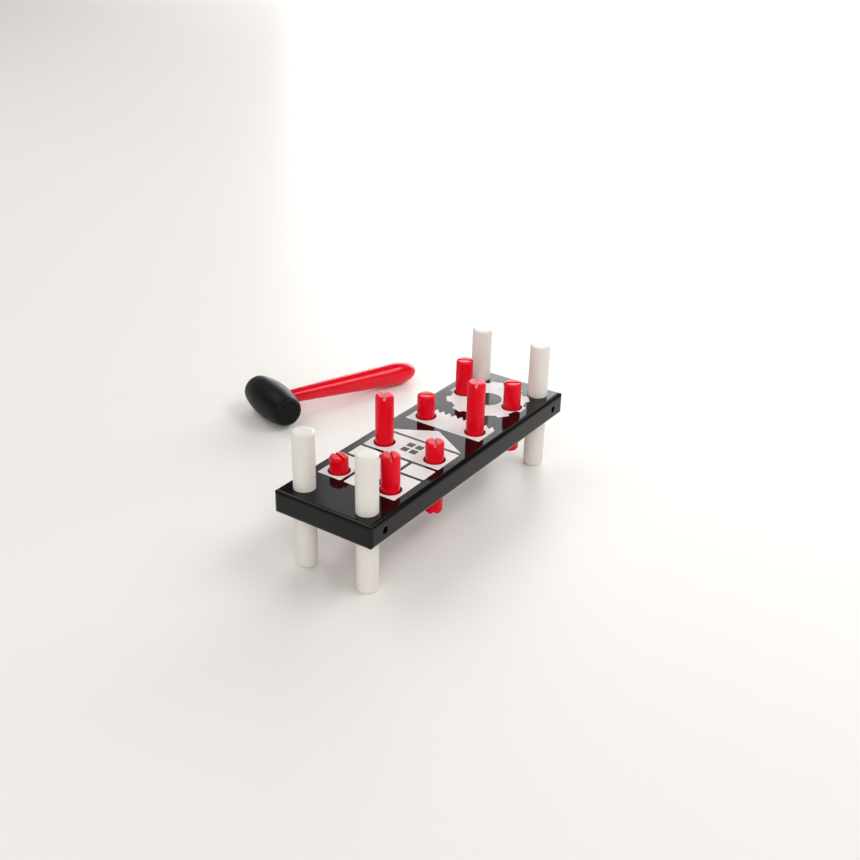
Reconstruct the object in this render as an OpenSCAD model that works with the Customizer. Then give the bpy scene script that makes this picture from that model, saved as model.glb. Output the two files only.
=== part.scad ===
// Pounding bench for a small child. A lacquered board stands on four through legs and holds
// two rows of slotted pegs, which are driven down with a mallet. Each leg sticks out equally
// above and below the board, so the bench is turned over once every peg is down.
// The origin is on the floor, under the middle of the board. +X runs along the board, and
// the front is the -Y side. The mallet lies on the floor behind the bench.

/* [Board] */
// Length of the board
board_l = 280; // [220:1:360]
// Width of the board
board_w = 92; // [76:1:120]
// Thickness of the board
board_t = 20; // [16:0.5:26]
// Rounding along the board's edges
board_r = 3.5; // [1:0.5:5]

/* [Legs] */
// Diameter of a leg
leg_d = 17.5; // [14:0.5:20]
// How far a leg sticks out of the board, above it and below it alike
leg_out = 47.5; // [40:0.5:60]
// A leg's centre line from the end of the board
leg_from_end = 17; // [14:0.5:22]
// A leg's centre line from the long side of the board
leg_from_side = 16.5; // [14:0.5:20]
// Rounding of a leg's rims
leg_rim = 1.8; // [0.5:0.1:3]

/* [Lock pins] */
// Diameter of the pin that locks each leg in the board
pin_d = 6; // [4:0.5:7]
// How deep the pin sits below the side of the board
pin_recess = 4; // [1:0.5:5]

/* [Pegs] */
// Pegs in each row
peg_columns = 4; // [3:1:4]
// Diameter of a peg
peg_d = 15; // [12:0.5:16]
// Gap all round between a peg and its hole
peg_clearance = 0.05; // [0.02:0.01:0.1]
// A peg's centre line from the long side of the board
peg_from_side = 21.5; // [16:0.5:24]
// The first and last column of pegs from the centre line of the legs
peg_from_leg = 35.25; // [26:0.25:40]
// Room under a peg when it has been driven flush with the board
peg_floor_gap = 4.5; // [2:0.5:10]
// Rounding of a peg's rims
peg_rim = 2; // [0.5:0.1:3]
// Width of the saw slot across each end of a peg
slot_w = 2.4; // [1:0.1:3]
// How far the saw slot runs below the rounded rim
slot_below_rim = 0.4; // [0.2:0.1:8]
// Width of the bevel round the mouth of each peg hole
mouth_bevel = 1.2; // [0.5:0.1:2]
// How far each front peg stands above the board
front_rises = [30.2, 16.5, 45.6, 23.1];
// How far each back peg stands above the board
back_rises = [12.9, 42.5, 20.2, 30.9];
// Turn of each front peg's slot
front_turns = [45, 38, 30, 130];
// Turn of each back peg's slot
back_turns = [69, 34, 124, 118];

/* [Mallet] */
// Length of the mallet's head
head_l = 67; // [50:1:80]
// Diameter of the head at its middle
head_d = 36.5; // [32:0.5:44]
// Diameter at which the barrel's curve would meet its ends
head_end_d = 26.5; // [25:0.5:30]
// Rounding between the barrel's curve and its flat ends
head_rim = 6.2; // [2:0.1:6.5]
// Diameter of the handle where it enters the head
neck_d = 12.6; // [9:0.1:14]
// Diameter of the handle at its thickest
grip_d = 23.2; // [18:0.2:28]
// The thickest place of the handle from the head's axis
grip_at = 138; // [110:1:170]
// Length of the handle's rounded end, past its thickest place
grip_end = 26; // [12:1:40]
// How far the handle runs into the head past the head's axis
tenon_past = 8; // [2:0.5:12]
// The head's centre to the right of the board's middle
mallet_x = 49; // [-60:0.5:100]
// The head's centre from the back side of the board
mallet_gap = 169.5; // [100:1:240]
// Turn of the mallet on the floor
mallet_turn = -20.2; // [-35:0.1:35]

/* [Hidden] */
$fn = 96;
cut = 1; // how far a cutting solid runs past what it cuts
handle_lift = 0.2; // the taper starts this far outside the head
end_steps = 14; // short cones that make up the handle's rounded end
end_power = 0.8; // under 1, the rounded end is fuller than an ellipse
board_bottom = leg_out;
board_top = leg_out + board_t;
leg_l = 2 * leg_out + board_t;
leg_x = board_l / 2 - leg_from_end;
leg_y = board_w / 2 - leg_from_side;
leg_places = [for (y = [-leg_y, leg_y], x = [-leg_x, leg_x]) [x, y]];
pin_l = leg_from_side - pin_recess;
peg_l = board_top - peg_floor_gap;
slot_depth = peg_rim + slot_below_rim;
peg_y = board_w / 2 - peg_from_side;
peg_pitch = 2 * (leg_x - peg_from_leg) / (peg_columns - 1);
peg_rows = [[-peg_y, front_rises, front_turns], [peg_y, back_rises, back_turns]];
head_arc_r = (pow(head_l / 2, 2) + pow((head_d - head_end_d) / 2, 2)) / (head_d - head_end_d);
head_arc_x = head_d / 2 - head_arc_r; // the arc's centre lies beyond the axis
rim_y = head_l / 2 - head_rim;
rim_x = head_arc_x + sqrt(pow(head_arc_r - head_rim, 2) - pow(rim_y, 2));
arc_half = head_arc_r * rim_y / (head_arc_r - head_rim); // where the arc runs into the rounding
neck_end = head_d / 2 + handle_lift;
grip_outline = [for (i = [0 : end_steps - 1]) let (a = 90 * i / end_steps)
    [grip_d / 2 * pow(cos(a), end_power), grip_at + grip_end * sin(a)]];
// the mallet tips until the first point of the handle's outline meets the floor
mallet_tilt = min([for (p = grip_outline) asin(head_d / 2 / norm(p)) - atan2(p[0], p[1])]);
mallet_y = board_w / 2 + mallet_gap;

LEGS = [for (side = ["front", "back"], end = ["left", "right"]) str("leg_", side, "_", end)];
PEGS = [for (row = ["front", "back"]) [for (i = [1 : peg_columns]) str("peg_", row, "_", i)]];

function peg_x(i) = (i - (peg_columns - 1) / 2) * peg_pitch;

// A flat rectangle about the origin, with round corners
module rounded_rectangle(x, y, r) {
    square([x - 2 * r, y], center = true);
    square([x, y - 2 * r], center = true);
    for (i = [-1, 1], j = [-1, 1])
        translate([i * (x / 2 - r), j * (y / 2 - r)]) circle(r);
}

// A block about the origin with all its edges rounded: what three rounded bars share
module rounded_block(x, y, z, r) {
    intersection() {
        linear_extrude(z, center = true) rounded_rectangle(x, y, r);
        rotate([90, 0, 0]) linear_extrude(y, center = true) rounded_rectangle(x, z, r);
        rotate([90, 0, 90]) linear_extrude(x, center = true) rounded_rectangle(y, z, r);
    }
}

// A round bar that stands on the origin, with both its rims rounded
module dowel(d, l, rim) {
    rotate_extrude() {
        square([d / 2 - rim, l]);
        translate([0, rim]) square([d / 2, l - 2 * rim]);
        for (z = [rim, l - rim])
            translate([d / 2 - rim, z]) circle(rim);
    }
}

// What a peg's hole takes out of the board: the bore and a bevel at each mouth
module peg_hole() {
    bore_r = peg_d / 2 + peg_clearance;
    mouth_r = bore_r + mouth_bevel;
    translate([0, 0, board_bottom - cut]) cylinder(h = board_t + 2 * cut, r = bore_r);
    translate([0, 0, board_top - mouth_bevel])
        cylinder(h = mouth_bevel + cut, r1 = bore_r, r2 = mouth_r + cut);
    translate([0, 0, board_bottom - cut])
        cylinder(h = mouth_bevel + cut, r1 = mouth_r + cut, r2 = bore_r);
}

// A bar along Y from a leg's axis out through the nearer long side, at the board's mid-thickness
module pin_bar(place, l) {
    translate([place.x, place.y, board_bottom + board_t / 2])
        rotate([place.y < 0 ? 90 : -90, 0, 0]) cylinder(h = l, d = pin_d);
}

module board() {
    color([0.07, 0.07, 0.08])
        difference() {
            translate([0, 0, board_bottom + board_t / 2])
                rounded_block(board_l, board_w, board_t, board_r);
            for (place = leg_places) {
                translate([place.x, place.y, board_bottom - cut])
                    cylinder(h = board_t + 2 * cut, d = leg_d);
                pin_bar(place, leg_from_side + cut);
            }
            for (row = peg_rows, i = [0 : peg_columns - 1])
                translate([peg_x(i), row[0], 0]) peg_hole();
        }
}

module leg(place) {
    color([0.90, 0.89, 0.86])
        difference() {
            translate([place.x, place.y, 0]) dowel(leg_d, leg_l, leg_rim);
            pin_bar(place, leg_from_side + cut);
        }
}

// Four short pins, one for each leg, from the leg's axis to below the board's side
module lock_pins() {
    color([0.35, 0.35, 0.37])
        for (place = leg_places) pin_bar(place, pin_l);
}

// A peg whose top stands at a height above the board, slotted across both ends
module peg(rise, turn) {
    color([0.80, 0.05, 0.12])
        translate([0, 0, board_top + rise - peg_l])
            difference() {
                dowel(peg_d, peg_l, peg_rim);
                for (z = [-cut, peg_l - slot_depth])
                    rotate([0, 0, turn])
                        translate([-peg_d, -slot_w / 2, z])
                            cube([2 * peg_d, slot_w, slot_depth + cut]);
            }
}

// Lays the mallet on the floor, on the middle of its head and the thickest place of its handle.
// Inside, the head's axis is along Y through the origin and the handle runs along +X.
module laid_down() {
    translate([mallet_x, mallet_y, head_d / 2])
        rotate([0, mallet_tilt, mallet_turn])
            children();
}

// The barrel, turned about the Y axis: an arc that runs smoothly into a rounding at each end
module barrel() {
    rotate([90, 0, 0])
        rotate_extrude() {
            translate([0, -head_l / 2]) square([rim_x, head_l]);
            for (y = [-rim_y, rim_y])
                translate([rim_x, y]) circle(head_rim);
            intersection() {
                translate([head_arc_x, 0]) circle(head_arc_r, $fn = 720);
                translate([0, -arc_half]) square([head_d, 2 * arc_half]);
            }
        }
}

module mallet_head() {
    color([0.05, 0.05, 0.06])
        laid_down()
            difference() {
                barrel();
                translate([-tenon_past, 0, 0])
                    rotate([0, 90, 0]) cylinder(h = tenon_past + head_d, d = neck_d);
            }
}

module mallet_handle() {
    color([0.80, 0.05, 0.12])
        laid_down()
            rotate([0, 90, 0])
                rotate_extrude()
                    polygon(concat(
                        [[0, -tenon_past], [neck_d / 2, -tenon_past], [neck_d / 2, neck_end]],
                        grip_outline,
                        [[0, grip_at + grip_end]]
                    ));
}

board();
for (i = [0 : 3])
    leg(leg_places[i]);
lock_pins();
for (row = [0, 1], i = [0 : peg_columns - 1])
    translate([peg_x(i), peg_rows[row][0], 0]) peg(peg_rows[row][1][i], peg_rows[row][2][i]);
mallet_head();
mallet_handle();
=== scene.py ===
# %% [markdown]
# # A toddler's pounding bench
#
# A lacquered board stands on four through legs. Eight slotted pegs sit tight in its holes and
# are driven down with a wooden mallet, then the bench is turned over and they are driven back.
#
# Everything is in metres. The packed model is the fixed frame: it already has the board, with
# its bored and bevelled holes, the slotted pegs and the steel pins. This lesson gives those a
# finish, and works out the legs, the mallet and the printed picture as surfaces of their own.

# %% Load the frame
from math import cos, pi, radians, sin

import bpy
import numpy as np
from mathutils import Matrix, Vector
from mathutils.geometry import tessellate_polygon


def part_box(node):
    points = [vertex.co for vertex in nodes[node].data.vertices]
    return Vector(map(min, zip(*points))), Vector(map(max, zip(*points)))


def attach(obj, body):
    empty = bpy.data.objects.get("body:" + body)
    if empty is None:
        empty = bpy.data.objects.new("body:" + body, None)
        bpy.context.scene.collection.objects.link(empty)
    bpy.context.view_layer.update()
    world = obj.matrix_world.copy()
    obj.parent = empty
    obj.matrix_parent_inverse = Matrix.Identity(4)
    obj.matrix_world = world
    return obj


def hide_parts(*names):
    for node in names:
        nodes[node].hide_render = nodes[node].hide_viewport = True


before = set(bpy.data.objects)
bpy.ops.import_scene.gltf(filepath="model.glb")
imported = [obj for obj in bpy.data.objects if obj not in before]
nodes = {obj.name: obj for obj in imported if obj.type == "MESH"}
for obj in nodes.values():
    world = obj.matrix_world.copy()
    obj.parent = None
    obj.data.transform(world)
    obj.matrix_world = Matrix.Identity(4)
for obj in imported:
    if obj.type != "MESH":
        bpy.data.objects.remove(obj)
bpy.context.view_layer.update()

MM = 0.001
pegs = [name for name in nodes if name.startswith("peg_")]
legs = [name for name in nodes if name.startswith("leg_")]

# %% [markdown]
# ## The camera
#
# A camera looks along its own -Z axis, with +Y up in the picture. So its three axes are worked
# out from a heading, an angle down and a small roll, and set as the columns of a matrix.

# %% Camera
CAMERA_AT = Vector((-0.7084, -0.4787, 0.5166))
HEADING, DOWN, ROLL = radians(34.06), radians(27.38), radians(1.32)
LENS_MM = 49.61

forward = Vector((cos(DOWN) * cos(HEADING), cos(DOWN) * sin(HEADING), -sin(DOWN)))
level = forward.cross(Vector((0, 0, 1))).normalized()
upright = level.cross(forward)
right = level * cos(ROLL) + upright * sin(ROLL)
up = upright * cos(ROLL) - level * sin(ROLL)

camera = bpy.data.objects.new("camera", bpy.data.cameras.new("camera"))
camera.data.lens = LENS_MM
facing = Matrix((right, up, -forward)).transposed().to_4x4()
camera.matrix_world = Matrix.Translation(CAMERA_AT) @ facing
bpy.context.scene.collection.objects.link(camera)
bpy.context.scene.camera = camera
print("camera is", round(CAMERA_AT.length, 3), "m from the bench")

# %% [markdown]
# ## Light
#
# A white product is lit with large soft lamps. The key hangs high behind the bench, so its
# shadows fall softly towards us. A long strip above the front draws the thin streak on the
# mallet's handle, and a wide fill keeps the near sides of the legs bright.
#
# Black lacquer has almost no colour of its own: what we see on it is a reflection. So a bright
# panel stands far behind. It is three bands, each dimmer than the one below, and its left edge
# is where the grey on the board's top ends.

# %% Studio
def softbox(name, at, aim, width, height, glow):
    """A rectangular lamp at a point, turned so that it shines at another point. glow is how
    bright its face looks: 1 is as bright as a white card in full light. A lamp's watts are
    pi times its area times its glow."""
    lamp = bpy.data.lights.new(name, "AREA")
    lamp.shape = "RECTANGLE"
    lamp.size, lamp.size_y = width, height
    lamp.energy = pi * width * height * glow
    obj = bpy.data.objects.new(name, lamp)
    obj.location = at
    obj.rotation_euler = (Vector(aim) - Vector(at)).to_track_quat("-Z", "Y").to_euler()
    bpy.context.scene.collection.objects.link(obj)


PANEL_WIDTH = 4.26
PANEL_AT = (3.531, 0.704)
PANEL_AIM = (0.0, 0.081)
PANEL_BANDS = (
    ("back_panel", 0.0, 1.85, 4.5),
    ("back_panel_middle", 1.85, 2.25, 2.4),
    ("back_panel_top", 2.25, 3.0, 1.0),
)
softbox("key", at=(-0.15, 1.45, 1.95), aim=(0, 0, 0), width=1.9, height=1.4, glow=1.86)
softbox("front_strip", at=(0.77, -1.07, 1.72), aim=(0.1, 0.1, 0), width=1.5, height=0.65, glow=5.4)
softbox("front_fill", at=(-2.3, -1.3, 1.5), aim=(0, 0, 0.05), width=3.0, height=2.0, glow=1.40)
for name, low, high, glow in PANEL_BANDS:
    height = (low + high) / 2
    softbox(name, (*PANEL_AT, height), (*PANEL_AIM, height), PANEL_WIDTH, high - low, glow)

# %% [markdown]
# The room itself is brighter in front of the bench and along the horizon than overhead. Its
# light comes from everywhere, so it opens up the shadows under the board. High up behind the
# bench it stays dim, because that is what the near end of the board reflects. The Standard view
# leaves these strengths as they are, so that white stays white.

# %% Room
ROOM_DIM, ROOM_LOW, ROOM_FRONT = 0.12, 0.58, 0.54
UPWARDS, TOWARDS_US = (0, 0, 1), (-0.8, -0.6, 0)
world = bpy.data.worlds.new("studio")
bpy.context.scene.world = world
world.use_nodes = True
room = world.node_tree
sky = room.nodes["Background"]
toward = room.nodes.new("ShaderNodeTexCoord").outputs["Generated"]


def ramp_along(direction, low, high, start, stop):
    """How far a view direction leans along another: its dot product with direction, taken from
    low..high to start..stop."""
    lean = room.nodes.new("ShaderNodeVectorMath")
    lean.operation = "DOT_PRODUCT"
    lean.inputs[1].default_value = direction
    room.links.new(toward, lean.inputs[0])
    ramp = room.nodes.new("ShaderNodeMapRange")
    room.links.new(lean.outputs["Value"], ramp.inputs["Value"])
    ends = {"From Min": low, "From Max": high, "To Min": start, "To Max": stop}
    for socket, value in ends.items():
        ramp.inputs[socket].default_value = value
    return ramp.outputs["Result"]


def room_sum(a, b):
    """Adds two strengths."""
    total = room.nodes.new("ShaderNodeMath")
    for place, value in zip(total.inputs, (a, b)):
        if isinstance(value, bpy.types.NodeSocket):
            room.links.new(value, place)
        else:
            place.default_value = value
    return total.outputs["Value"]


horizon = ramp_along(UPWARDS, low=0.12, high=0.27, start=ROOM_LOW, stop=0.0)
in_front = ramp_along(TOWARDS_US, low=-0.1, high=0.6, start=0.0, stop=ROOM_FRONT)
room.links.new(room_sum(room_sum(horizon, in_front), ROOM_DIM), sky.inputs["Strength"])
sky.inputs["Color"].default_value = (1.0, 0.98, 0.95, 1)
bpy.context.scene.view_settings.view_transform = "Standard"
print("room strength:", ROOM_DIM, "overhead,", ROOM_LOW, "more low down,", ROOM_FRONT, "in front")

# %% [markdown]
# ## A small kit for materials
#
# A material is a graph of nodes. `Graph` keeps one at hand: `add` makes a node and sets its
# inputs, and an input given as another node's socket is linked instead of set. Patterns read
# Object coordinates, which are metres here, so a noise of scale 100 has lumps of about 10 mm.

# %% Material kit
class Graph:
    """A new material's node tree, with its Principled shader ready."""

    def __init__(self, name):
        self.material = bpy.data.materials.new(name)
        self.material.use_nodes = True
        self.tree = self.material.node_tree
        self.shader = self.tree.nodes["Principled BSDF"]

    def put(self, node, inputs):
        """Sets or links each named input of a node."""
        for key, value in inputs.items():
            if isinstance(value, bpy.types.NodeSocket):
                self.tree.links.new(value, node.inputs[key])
            else:
                node.inputs[key].default_value = value

    def add(self, kind, inputs=None, **settings):
        """Makes a node of a kind, with its settings and its inputs."""
        node = self.tree.nodes.new(kind)
        for key, value in settings.items():
            setattr(node, key, value)
        self.put(node, inputs or {})
        return node

    def noise(self, scale, stretch=(1, 1, 1), detail=3.0):
        """Noise of a scale per metre, squeezed along each axis by stretch. Its value is 0 to 1."""
        where = self.add("ShaderNodeTexCoord").outputs["Object"]
        scaled = self.add("ShaderNodeMapping", {"Vector": where, "Scale": stretch})
        made = self.add(
            "ShaderNodeTexNoise",
            {"Vector": scaled.outputs["Vector"], "Scale": scale, "Detail": detail},
        )
        return made.outputs["Fac"]

    def remap(self, value, low, high, to_low, to_high):
        """Takes low..high to to_low..to_high in a straight line, and stops at both ends."""
        made = self.add(
            "ShaderNodeMapRange",
            {"Value": value, "From Min": low, "From Max": high, "To Min": to_low, "To Max": to_high},
        )
        return made.outputs["Result"]

    def mix(self, share, a, b):
        """Mixes two colours: share 0 gives a, and share 1 gives b. The node has sockets of the
        same names for numbers, vectors and colours, so its colour sockets go by number."""
        made = self.add("ShaderNodeMix", data_type="RGBA")
        self.put(made, {0: share, 6: a, 7: b})
        return made.outputs[2]

    def bump(self, height, distance, below=None):
        """Turns a height pattern into tilted normals: distance is how tall 0 to 1 is, in metres."""
        made = self.add("ShaderNodeBump", {"Height": height, "Distance": distance})
        if below is not None:
            self.put(made, {"Normal": below})
        return made.outputs["Normal"]


def shade(colour, amount):
    """The colour, lighter or darker by a factor, as four numbers."""
    return tuple(min(1.0, c * amount) for c in colour) + (1.0,)


print("kit:", [name for name in vars(Graph) if not name.startswith("_")])

# %% [markdown]
# ## Lacquer
#
# All the wood on this toy is sprayed. Sprayed lacquer is never a perfect mirror: it has a fine
# orange-peel ripple a millimetre or two long, the wood's grain shows through it as faint long
# lines, and hands leave it a little duller in patches. On the edges the film is thin and
# rubbed, so black and red get a bit lighter there, and white a touch darker. `lacquer` layers
# those things, and each finish below gives it its own colour and amounts.
#
# The Bevel node gives the normal that the surface would have if its edges were rounded. It
# softens the look of a sharp edge, and where it differs from the true normal there is an edge.

# %% Lacquer
EDGE = 0.35 * MM
RUBBED_ALL, RUBBED_NONE = 0.90, 0.995
# Noise scales per metre: lumps of about 26, 14, 2 and 1 mm
HANDLED, MOTTLED, PEELED, GRAINED = 38, 70, 520, 900


def lacquer(name, colour, gloss, along, peel=0.010, grain=0.008, patch=0.06, tone=0.10, worn=1.25):
    """A sprayed finish. gloss is its roughness, along squeezes the grain's noise so that it runs
    with the wood, peel and grain are ripple heights in mm, patch and tone are how far the
    roughness and the colour wander, and worn is how much lighter the rubbed edges are, or darker
    when it is under 1. An edge is rubbed by the cosine between its softened and its true normal:
    wholly where that is under RUBBED_ALL, and not at all over RUBBED_NONE."""
    g = Graph(name)
    soft = g.add("ShaderNodeBevel", {"Radius": EDGE}, samples=4).outputs["Normal"]
    true = g.add("ShaderNodeNewGeometry").outputs["Normal"]
    same = g.add("ShaderNodeVectorMath", {0: soft, 1: true}, operation="DOT_PRODUCT")
    rubbed = g.remap(same.outputs["Value"], RUBBED_ALL, RUBBED_NONE, 1.0, 0.0)
    handled = g.noise(HANDLED, detail=4)
    lines = g.noise(GRAINED, stretch=along, detail=2)
    ripple = g.noise(PEELED, detail=1.5)
    mottle = g.remap(g.noise(MOTTLED, stretch=along, detail=5), 0.3, 0.7, 0.0, 1.0)
    roughness = g.remap(handled, 0.35, 0.70, gloss, gloss + patch)
    normal = g.bump(lines, grain * MM, below=g.bump(ripple, peel * MM, below=soft))
    base = g.mix(mottle, shade(colour, 1 - tone), shade(colour, 1 + tone))
    base = g.mix(rubbed, base, shade(colour, worn))
    g.put(g.shader, {"Base Color": base, "Roughness": roughness, "Normal": normal})
    print(name, "has", len(g.tree.nodes), "nodes")
    return g


ALONG_X, ALONG_Z, ALL_WAYS = (0.03, 1, 1), (1, 1, 0.03), (1, 1, 1)

# %% [markdown]
# ### The finishes
#
# The board is the flattest and glossiest piece, so its ripple is the lowest, and nearly all we
# see on it is reflection. The legs are a warm satin white. The pegs and the handle are nearly
# the same red, and the handle is glossier. Their highlights are reddish too, which a plain clear
# coat can't give, so the Specular Tint is set. The head is a dull black, because it takes the
# blows. The pins lie down in dark holes, so a plain dull steel is enough for them.

# %% Board: black and glossy, the flattest face on the toy
board_black = lacquer("board black lacquer", (0.0022, 0.0025, 0.0025), 0.055, ALONG_X,
                      peel=0.004, grain=0.003, patch=0.05, tone=0.25, worn=3.0)
board_black.put(board_black.shader, {"Specular IOR Level": 0.24})

# %% Legs: warm white, satin
leg_white = lacquer("leg white lacquer", (0.725, 0.692, 0.650), 0.30, ALONG_Z, tone=0.02,
                    patch=0.10, worn=0.96)

# %% Pegs: deep red, satin gloss
peg_red = lacquer("peg red lacquer", (0.73, 0.0012, 0.0130), 0.22, ALONG_Z, tone=0.05, patch=0.08)
peg_red.put(peg_red.shader, {"Specular IOR Level": 0.30, "Specular Tint": (1.0, 0.40, 0.44, 1.0)})

# %% Mallet: a glossy red handle and a satin black head
handle_red = lacquer("handle red lacquer", (0.76, 0.0022, 0.0165), 0.10, ALL_WAYS, tone=0.05)
handle_red.put(handle_red.shader, {"Specular IOR Level": 0.48, "Specular Tint": (1.0, 0.56, 0.60, 1.0)})
head_black = lacquer("head black lacquer", (0.0016, 0.0022, 0.0022), 0.34, ALL_WAYS, peel=0.02,
                     patch=0.16, tone=0.3, worn=2.5)
head_black.put(head_black.shader, {"Specular IOR Level": 0.16})

# %% Pins: plain steel, a little dull from lying in the hole
SCRATCHED, TARNISHED = 2500, 300
pin_steel = Graph("pin steel")
scratches = pin_steel.noise(SCRATCHED, stretch=(1, 0.05, 1), detail=2)
steel_tones = (shade((0.22, 0.21, 0.20), 1), shade((0.30, 0.29, 0.28), 1))
pin_steel.put(
    pin_steel.shader,
    {
        "Base Color": pin_steel.mix(pin_steel.noise(TARNISHED), *steel_tones),
        "Metallic": 1.0,
        "Roughness": pin_steel.remap(scratches, 0.3, 0.7, 0.35, 0.55),
    },
)
print("pin steel has", len(pin_steel.tree.nodes), "nodes")

# %% [markdown]
# ## Printed ink
#
# The picture on the board is screen-printed. Thick white ink on black is not quite even: the
# black shows through a little where the film is thin, and its surface is matte with a fine
# mesh-like tooth. A flat white with no pattern would look like stuck-on paper, so one noise
# thins the film and a much finer one roughens it.

# %% Ink: matte off-white
TOOTH_SCALE, FILM_SCALE = 2200, 110
TOOTH_HEIGHT = 0.010 * MM
ink_white = Graph("printed white")
tooth = ink_white.noise(TOOTH_SCALE, detail=2)
cover = ink_white.remap(ink_white.noise(FILM_SCALE, detail=4), 0.35, 0.65, 0.0, 1.0)
ink_tones = (shade((0.735, 0.745, 0.735), 1), shade((0.79, 0.80, 0.79), 1))
ink_white.put(
    ink_white.shader,
    {
        "Base Color": ink_white.mix(cover, *ink_tones),
        "Roughness": ink_white.remap(tooth, 0.3, 0.7, 0.42, 0.56),
        "Normal": ink_white.bump(tooth, TOOTH_HEIGHT),
    },
)


def dress(obj, graph):
    """Gives every material slot of an object one material."""
    if not obj.material_slots:
        obj.data.materials.append(None)
    for place in obj.material_slots:
        place.material = graph.material


print("printed white has", len(ink_white.tree.nodes), "nodes")

# %% [markdown]
# ## Floor
#
# The toy stands on a plain painted floor, in a warm off-white that is only slightly shiny. It is
# one flat sheet, so large that its edge stays out of the camera's view. A curved backdrop would
# hide the edge from every side, but it would also show in the lacquer.

# %% Floor
FLOOR_HALF = 12.0
CLOUD_SCALE = 3
floor_pale = Graph("pale floor")
floor_tones = ((0.855, 0.832, 0.800, 1), (0.870, 0.848, 0.815, 1))
floor_pale.put(
    floor_pale.shader,
    {
        "Base Color": floor_pale.mix(floor_pale.noise(CLOUD_SCALE, detail=3), *floor_tones),
        "Roughness": 0.36,
        "Specular IOR Level": 0.20,
    },
)
floor_mesh = bpy.data.meshes.new("floor")
floor_corners = [(x * FLOOR_HALF, y * FLOOR_HALF, 0) for x, y in ((-1, -1), (1, -1), (1, 1), (-1, 1))]
floor_mesh.from_pydata(floor_corners, [], [(0, 1, 2, 3)])
floor = bpy.data.objects.new("floor", floor_mesh)
bpy.context.scene.collection.objects.link(floor)
dress(floor, floor_pale)
print("the floor is", 2 * FLOOR_HALF, "m across")

# %% [markdown]
# ## Turned pieces
#
# The legs and the mallet are turned on a lathe, so each is a profile carried once round an
# axis. In Blender a Screw modifier could do that. Here the whole surface is worked out as one
# grid of points instead, because then any formula can be added to it: a lathe never leaves wood
# perfectly round, and a lamp's reflection shows that at once.

# %% Grids of points
def spin(profile, columns=96):
    """Turns a profile of (radius, height) once round the Z axis. With t from 0 to a full turn,
    x = radius cos t, y = radius sin t and z = height."""
    t = np.linspace(0, 2 * pi, columns, endpoint=False)
    radius, height = profile[:, :1], profile[:, 1:]
    return np.stack([radius * np.cos(t), radius * np.sin(t), height + 0 * t], axis=-1)


def uneven(grid, depth, lobes, per_metre, start=0.0):
    """Draws points in towards the Z axis by 0 to depth, after a slow wave that winds round the
    piece: depth (1 + sin(lobes t + per_metre z + start)) / 2."""
    x, y, z = np.moveaxis(grid, -1, 0)
    wave = (1 + np.sin(lobes * np.arctan2(y, x) + per_metre * z + start)) / 2
    radius = np.hypot(x, y)
    keep = np.clip(1 - depth * wave / np.maximum(radius, MM), 0, 1)
    return np.stack([x * keep, y * keep, z], axis=-1)


def skin(name, grid):
    """Makes a closed surface through a grid of points. Its rows go up the piece and its columns
    round it. The last column joins the first, and each end row closes on its middle point."""
    rows, columns = grid.shape[:2]
    here = np.arange(rows * columns).reshape(rows, columns)
    beside = np.roll(here, -1, axis=1)
    sides = np.stack([here[:-1], beside[:-1], beside[1:], here[1:]], axis=-1).reshape(-1, 4)
    low, high = np.full(columns, rows * columns), np.full(columns, rows * columns + 1)
    ends = np.concatenate([
        np.stack([low, beside[0], here[0]], axis=-1),
        np.stack([high, here[-1], beside[-1]], axis=-1),
    ])
    points = np.concatenate([grid.reshape(-1, 3), grid[[0, -1]].mean(axis=1)])
    mesh = bpy.data.meshes.new(name)
    mesh.from_pydata(points.tolist(), [], sides.tolist() + ends.tolist())
    mesh.polygons.foreach_set("use_smooth", np.ones(len(mesh.polygons), bool))
    mesh.update()
    obj = bpy.data.objects.new(name, mesh)
    bpy.context.scene.collection.objects.link(obj)
    print(name, "has", len(points), "points")
    return obj


# %% [markdown]
# ## Legs
#
# Each leg is a thick dowel that goes right through the board and sticks out equally above and
# below. Its rims are rounded so that a child can lean on them. The profile runs out along the
# flat foot, round the rim, up the side, and back in over the top.

# %% Dowel profile
def dowel_profile(radius, length, rim, side_rows):
    """Half the outline of a round bar, as (radius, height) from the bottom's middle to the
    top's: the flat end, a quarter circle of radius rim, the straight side, and the same again."""
    angle = np.linspace(0, pi / 2, 9)
    flat = np.linspace(0.1, 0.96, 6) * (radius - rim)
    out = np.concatenate([flat, radius - rim + rim * np.sin(angle)])
    rise = np.concatenate([0 * flat, rim - rim * np.cos(angle)])
    bottom = np.stack([out, rise], axis=-1)
    heights = np.linspace(rim, length - rim, side_rows)[1:-1]
    side = np.stack([np.full(len(heights), radius), heights], axis=-1)
    return np.concatenate([bottom, side, (bottom * (1, -1) + (0, length))[::-1]])


# %% [markdown]
# Each leg takes its place and its size from the frame, so it fits its hole. Four copies of one
# mesh would do, but then all four would be uneven in the same way. So each wave starts at a
# place of its own.

# %% Four legs
LEG_RIM = 1.8 * MM
LATHE_ERROR = 0.05 * MM
WAVE_SHIFT = 1.7
for number, name in enumerate(legs):
    lowest, highest = (np.array(corner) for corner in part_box(name))
    size = highest - lowest
    leg_grid = spin(dowel_profile(size[0] / 2, size[2], LEG_RIM, side_rows=40))
    leg_grid = uneven(leg_grid, LATHE_ERROR, lobes=2, per_metre=55, start=WAVE_SHIFT * number)
    leg_grid += ((lowest + highest) / 2 * (1, 1, 0)) + (0, 0, lowest[2])
    dowel = skin(name + "_dowel", leg_grid)
    dress(dowel, leg_white)
    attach(dowel, "bench")
    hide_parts(name)
print("a leg is", round(size[0] / MM, 1), "mm thick and", round(size[2] / MM, 1), "mm long")

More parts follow.
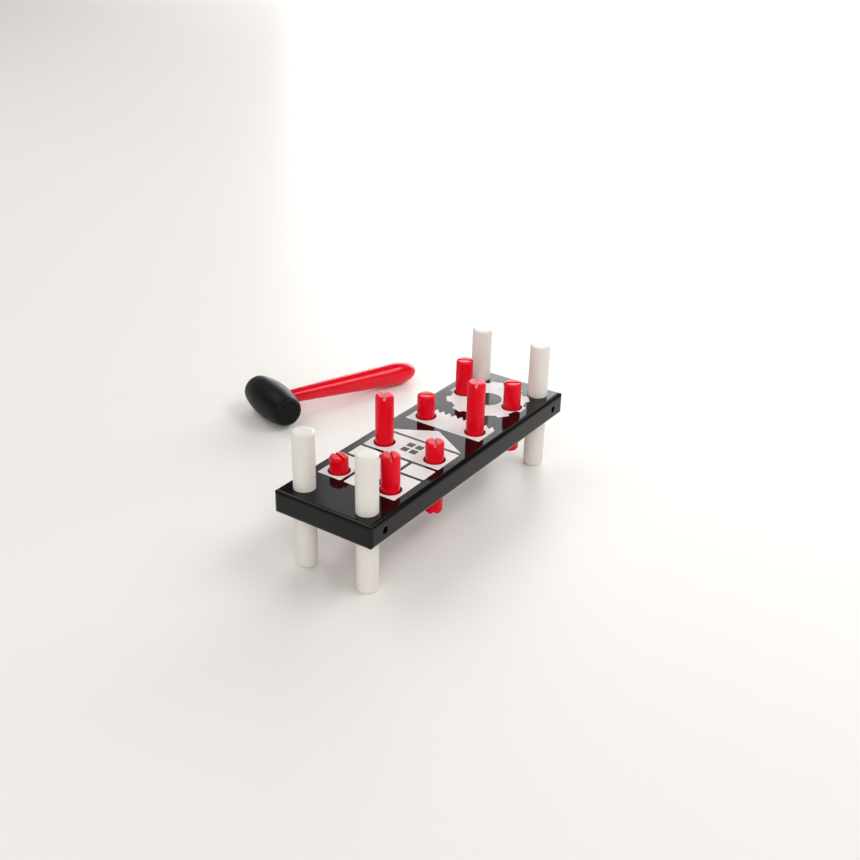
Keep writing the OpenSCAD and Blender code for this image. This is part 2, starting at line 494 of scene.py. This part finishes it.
# %% [markdown]
# ## Mallet
#
# The mallet is a barrel on a tapered handle. Both are turned, so both are worked out standing up
# along Z, and are then laid down as the packed model lies. The three directions of that pose
# are measured on the frame: the handle's far end is its point that is furthest from the head.

# %% Where the mallet lies
def points_of(obj):
    """An object's vertices in the frame, one row each."""
    flat = np.empty(3 * len(obj.data.vertices))
    obj.data.vertices.foreach_get("co", flat)
    matrix = np.array(obj.matrix_world)
    return flat.reshape(-1, 3) @ matrix[:3, :3].T + matrix[:3, 3]


def lay(grid, at, x_axis, y_axis, z_axis):
    """Puts a grid at a point, with its own X, Y and Z along three given directions."""
    return np.array(at) + grid @ np.array([x_axis, y_axis, z_axis])


head_lowest, head_highest = (np.array(corner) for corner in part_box("mallet_head"))
head_at = (head_lowest + head_highest) / 2
reach = points_of(nodes["mallet_handle"]) - head_at
tip = reach[np.argmax(np.linalg.norm(reach, axis=1))]
handle_length = np.linalg.norm(tip)
outward = tip / handle_length
sideways = np.cross((0, 0, 1), outward)
sideways /= np.linalg.norm(sideways)
upward = np.cross(outward, sideways)
print("the handle ends", round(handle_length / MM, 1), "mm from the middle of the head")

# %% [markdown]
# ### Head
#
# The head is a barrel of hard black wood with rounded rims, and its two flat faces are slightly
# dented from hitting pegs. A scaled sphere would be quicker, but it has no flat faces. So the
# outline is two arcs that run smoothly into each other, and the dents are pressed into the
# points themselves.

# %% Head
HEAD_R = (head_highest[2] - head_lowest[2]) / 2
HEAD_HALF = 33.5 * MM
HEAD_END_R = 13.25 * MM
HEAD_RIM = 6.2 * MM
HEAD_ERROR = 0.10 * MM
DENTS = 9
DENT_DEPTH = 0.22 * MM
DENT_WIDTH = 2.6 * MM
DENT_SPREAD = 0.35


def barrel_profile(radius, end_radius, half, rim):
    """A barrel's outline as (radius, height). Its side is an arc of radius bow, which would meet
    the ends at end_radius. At the angle lean it runs smoothly into a smaller arc of radius rim,
    and that one into the flat end: two circles touch where their centres and the touching point
    lie on one line, so the small one's centre is bow - rim from the big one's."""
    bow = (half**2 + (radius - end_radius) ** 2) / (2 * (radius - end_radius))
    lean = np.arcsin((half - rim) / (bow - rim))
    rim_at = radius - bow + (bow - rim) * np.cos(lean)
    flat = np.linspace(0.05, 0.95, 14) * rim_at
    angle = np.linspace(pi / 2, lean, 16)
    end = np.concatenate([
        np.stack([flat, np.full(len(flat), -half)], axis=-1),
        np.stack([rim_at + rim * np.cos(angle), rim - half - rim * np.sin(angle)], axis=-1),
    ])
    along = np.linspace(-lean, lean, 50)[1:-1]
    side = np.stack([radius - bow + bow * np.cos(along), bow * np.sin(along)], axis=-1)
    return np.concatenate([end, side, (end * (1, -1))[::-1]])


def dented(grid, half, end_radius, count, depth, width):
    """Presses shallow round dents into both flat ends: each dent lowers the points near it by
    depth exp(-(distance / width)^2), and only within the ends' last millimetre. Most dents lie
    near the middle, where a mallet hits."""
    dice = np.random.default_rng(7)
    spots = dice.normal(0, DENT_SPREAD, (2, count, 2)) * end_radius
    result = grid.copy()
    for end, places in zip((-1, 1), spots):
        gap = grid[:, :, None, :2] - places
        press = (depth * np.exp(-(gap**2).sum(axis=-1) / width**2)).max(axis=-1)
        near_end = np.clip((end * grid[..., 2] - (half - MM)) / MM, 0, 1)
        result[..., 2] -= end * press * near_end
    return result


head_grid = spin(barrel_profile(HEAD_R, HEAD_END_R, HEAD_HALF, HEAD_RIM), columns=128)
head_grid = uneven(head_grid, HEAD_ERROR, lobes=3, per_metre=90)
head_grid = dented(head_grid, HEAD_HALF, HEAD_END_R, DENTS, DENT_DEPTH, DENT_WIDTH)
head = skin("mallet_head_barrel", lay(head_grid, head_at, upward, outward, sideways))
dress(head, head_black)
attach(head, "mallet")
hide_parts("mallet_head")

# %% [markdown]
# ### Handle
#
# The handle is thickest near its end and tapers to the neck, which is glued into the head. A cone
# with half a ball on it would look blunt, so the end follows a formula with a power that makes
# it a little fuller than half an ellipse. The surface starts inside the head, out of sight.

# %% Handle
HANDLE_START = 12 * MM
NECK_R = 6.3 * MM
GRIP_R = 11.6 * MM
GRIP_AT = 138 * MM
END_POWER = 0.8


def handle_profile(start, neck_at, neck_radius, grip_at, grip_radius, length, power):
    """The handle's outline as (radius, distance from the head's middle): a straight taper from
    the neck to the grip, then an end whose radius is grip_radius cos(a)^power while it runs on
    by (length - grip_at) sin(a)."""
    taper = np.linspace(start, grip_at, 60)[:-1]
    share = np.clip((taper - neck_at) / (grip_at - neck_at), 0, 1)
    straight = np.stack([neck_radius + (grip_radius - neck_radius) * share, taper], axis=-1)
    angle = np.linspace(0, pi / 2, 40)[:-1]
    end_radius = grip_radius * np.cos(angle) ** power
    end = np.stack([end_radius, grip_at + (length - grip_at) * np.sin(angle)], axis=-1)
    return np.concatenate([straight, end])


handle_outline = handle_profile(
    HANDLE_START, HEAD_R, NECK_R, GRIP_AT, GRIP_R, handle_length, END_POWER
)
handle_grid = uneven(spin(handle_outline), LATHE_ERROR, lobes=2, per_metre=60)
handle = skin("mallet_handle_grip", lay(handle_grid, head_at, sideways, upward, outward))
dress(handle, handle_red)
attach(handle, "mallet")
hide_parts("mallet_handle")

# %% [markdown]
# ## The printed picture
#
# The top of the board is printed in white with four plain pictures that go with hammering: a
# brick wall, a house, a saw blade and a cog. The ink is a film, a few hundredths of a
# millimetre thick, and stops just short of the bevel round each peg hole.
#
# Each patch of ink is drawn as an outline in mm, with the peg holes as more outlines inside it.
# Blender's tessellate_polygon fills such a set of loops with triangles, and a Solidify modifier
# gives the film its thickness.

# %% Outlines
INK = 0.06 * MM
PRINT_HALF = 36.5
HOLE_SHY = 1.55
CORNER = 1.2
board_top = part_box("board")[1][2]


def circle_of(centre, radius, count=64):
    """Points round a circle: centre + radius (cos t, sin t)."""
    t = np.linspace(0, 2 * pi, count, endpoint=False)
    return np.array(centre) + radius * np.stack([np.cos(t), np.sin(t)], axis=-1)


def block(x0, x1, y0, y1):
    """The four corners of a rectangle."""
    return np.array([(x0, y0), (x1, y0), (x1, y1), (x0, y1)], float)


def rounded(corners, radius, steps=6):
    """Rounds every corner of an outline: from radius before the corner to radius after it runs
    the curve (1-s)^2 before + 2 s (1-s) corner + s^2 after."""
    before, after = np.roll(corners, 1, axis=0) - corners, np.roll(corners, -1, axis=0) - corners
    before /= np.linalg.norm(before, axis=1, keepdims=True)
    after /= np.linalg.norm(after, axis=1, keepdims=True)
    s = np.linspace(0, 1, steps)[None, :, None]
    first = (corners + radius * before)[:, None]
    last = (corners + radius * after)[:, None]
    curve = (1 - s) ** 2 * first + 2 * s * (1 - s) * corners[:, None] + s**2 * last
    return curve.reshape(-1, 2)


def print_patch(name, outlines):
    """Fills outlines, each given in mm as (its edge, then its openings), as one film of ink on
    top of the board."""
    points, faces = [], []
    for loops in outlines:
        flat = [[Vector((x * MM, y * MM, board_top)) for x, y in loop] for loop in loops]
        base = len(points)
        corners = [corner for loop in flat for corner in loop]
        for a, b, c in tessellate_polygon(flat):
            faces_up = (corners[b] - corners[a]).cross(corners[c] - corners[a]).z > 0
            second, third = (b, c) if faces_up else (c, b)
            faces.append((base + a, base + second, base + third))
        points += corners
    mesh = bpy.data.meshes.new(name)
    mesh.from_pydata(points, [], faces)
    obj = bpy.data.objects.new(name, mesh)
    bpy.context.scene.collection.objects.link(obj)
    film = obj.modifiers.new("film", "SOLIDIFY")
    film.thickness, film.offset = INK, 1.0
    dress(obj, ink_white)
    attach(obj, "bench")
    print(name, "has", len(outlines), "patches of ink")


# %% [markdown]
# The places of the openings are read from the pegs in the frame, so the ink and the holes can't
# drift apart. Each opening is a little wider than the bevel round its hole.

# %% Peg holes as openings
hole_places = {}
for name in pegs:
    lowest, highest = (np.array(corner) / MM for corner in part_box(name))
    centre, radius = (lowest + highest)[:2] / 2, (highest - lowest)[0] / 2
    hole_places[name] = circle_of(centre, radius + HOLE_SHY)
print("openings are", round(2 * (radius + HOLE_SHY), 1), "mm across")


def holes_in(column):
    """The openings for the front and the back peg of one column."""
    return [hole_places[f"peg_{row}_{column}"] for row in ("front", "back")]


# %% [markdown]
# ### Brick wall
#
# The wall has three courses of two bricks, one long and one short. Their order changes from one
# course to the next, as in a real bond, so that no upright joint runs on into the next course.

# %% Brick wall
LONG, SHORT, JOINT = 35.0, 16.4, 3.0
COURSES = 3
COURSE = (2 * PRINT_HALF - (COURSES - 1) * JOINT) / COURSES
WALL_LEFT = -99.4
wall = []
for course in range(COURSES):
    y0 = -PRINT_HALF + course * (COURSE + JOINT)
    first = SHORT if course == 1 else LONG
    second = LONG + SHORT - first
    x1 = WALL_LEFT + first
    x2 = x1 + JOINT
    openings = [] if course == 1 else [holes_in(1)[course // 2]]
    wall.append([rounded(block(WALL_LEFT, x1, y0, y0 + COURSE), CORNER), *openings])
    wall.append([rounded(block(x2, x2 + second, y0, y0 + COURSE), CORNER)])
print_patch("print_bricks", wall)

# %% [markdown]
# ### House
#
# The house points along the board. Its body is one block with four square window panes left
# open in it, and its roof is a triangle of its own.

# %% House
HOUSE = (-42.0, -12.0)
ROOF = (-9.0, 12.5)
PANE, PANE_CORNER = 6.5, 0.6
PANES_X, PANES_Y = (-32.5, -24.0), (-7.5, 1.0)
body = [rounded(block(*HOUSE, -PRINT_HALF, PRINT_HALF), CORNER), *holes_in(2)]
panes = [rounded(block(x, x + PANE, y, y + PANE), PANE_CORNER) for x in PANES_X for y in PANES_Y]
gable = np.array([(ROOF[0], -PRINT_HALF), (ROOF[1], 0), (ROOF[0], PRINT_HALF)], float)
print_patch("print_house", [body + panes, [rounded(gable, CORNER)]])

# %% [markdown]
# ### Saw blade
#
# The blade has a straight back and twelve hooked teeth. The valleys lie evenly along one line,
# and each peak lies on a second line, just short of the next valley. The two rows are then
# woven into one outline.

# %% Saw blade
TEETH = 12
BLADE = (16.6, 40.5)
TOOTH, HOOK = 5.0, 1.2
steps = np.linspace(-PRINT_HALF, PRINT_HALF, TEETH + 1)
valleys = np.stack([np.full(TEETH + 1, BLADE[1]), steps], axis=-1)
peaks = np.stack([np.full(TEETH, BLADE[1] + TOOTH), steps[1:] - HOOK], axis=-1)
teeth = np.stack([valleys[:-1], peaks], axis=1).reshape(-1, 2)
back = np.array([(BLADE[0], -PRINT_HALF)])
saw = np.concatenate([back, teeth, valleys[-1:], [(BLADE[0], PRINT_HALF)]])
print_patch("print_saw", [[saw, *holes_in(3)]])

# %% [markdown]
# ### Cog
#
# The cog has ten teeth round an open hub. Each tooth is four points: its foot, its two tips and
# its other foot, at shares of the angle from one tooth to the next. Angles and radii are two
# flat arrays, so the whole rim is one formula.

# %% Cog
COG_TEETH, COG_AT = 10, 88.4
COG_OUT, COG_IN, COG_HUB = 36.2, 32.4, 12.2
COG_CORNER = 0.7
tooth_turn = 2 * pi / COG_TEETH
edges = np.array([-0.30, -0.22, 0.22, 0.30])
radii = np.array([COG_IN, COG_OUT, COG_OUT, COG_IN])
at = (pi / 2 + tooth_turn * (np.arange(COG_TEETH)[:, None] + edges)).ravel()
far = np.tile(radii, COG_TEETH)
cog = np.array([COG_AT, 0.0]) + far[:, None] * np.stack([np.cos(at), np.sin(at)], axis=-1)
hub = circle_of((COG_AT, 0), COG_HUB)
print_patch("print_cog", [[rounded(cog, COG_CORNER), hub, *holes_in(4)]])

# %% [markdown]
# ## Pieces that come with the frame
#
# The board with its holes, the steel pins and the slotted pegs are right as they are, so they
# only get their finish. Remaking them here could only move a hole or a slot.

# %% Finish the board, the pins and the pegs
dress(nodes["board"], board_black)
dress(nodes["lock_pins"], pin_steel)
for name in pegs:
    dress(nodes[name], peg_red)
print("dressed the board, the pins and", len(pegs), "pegs")
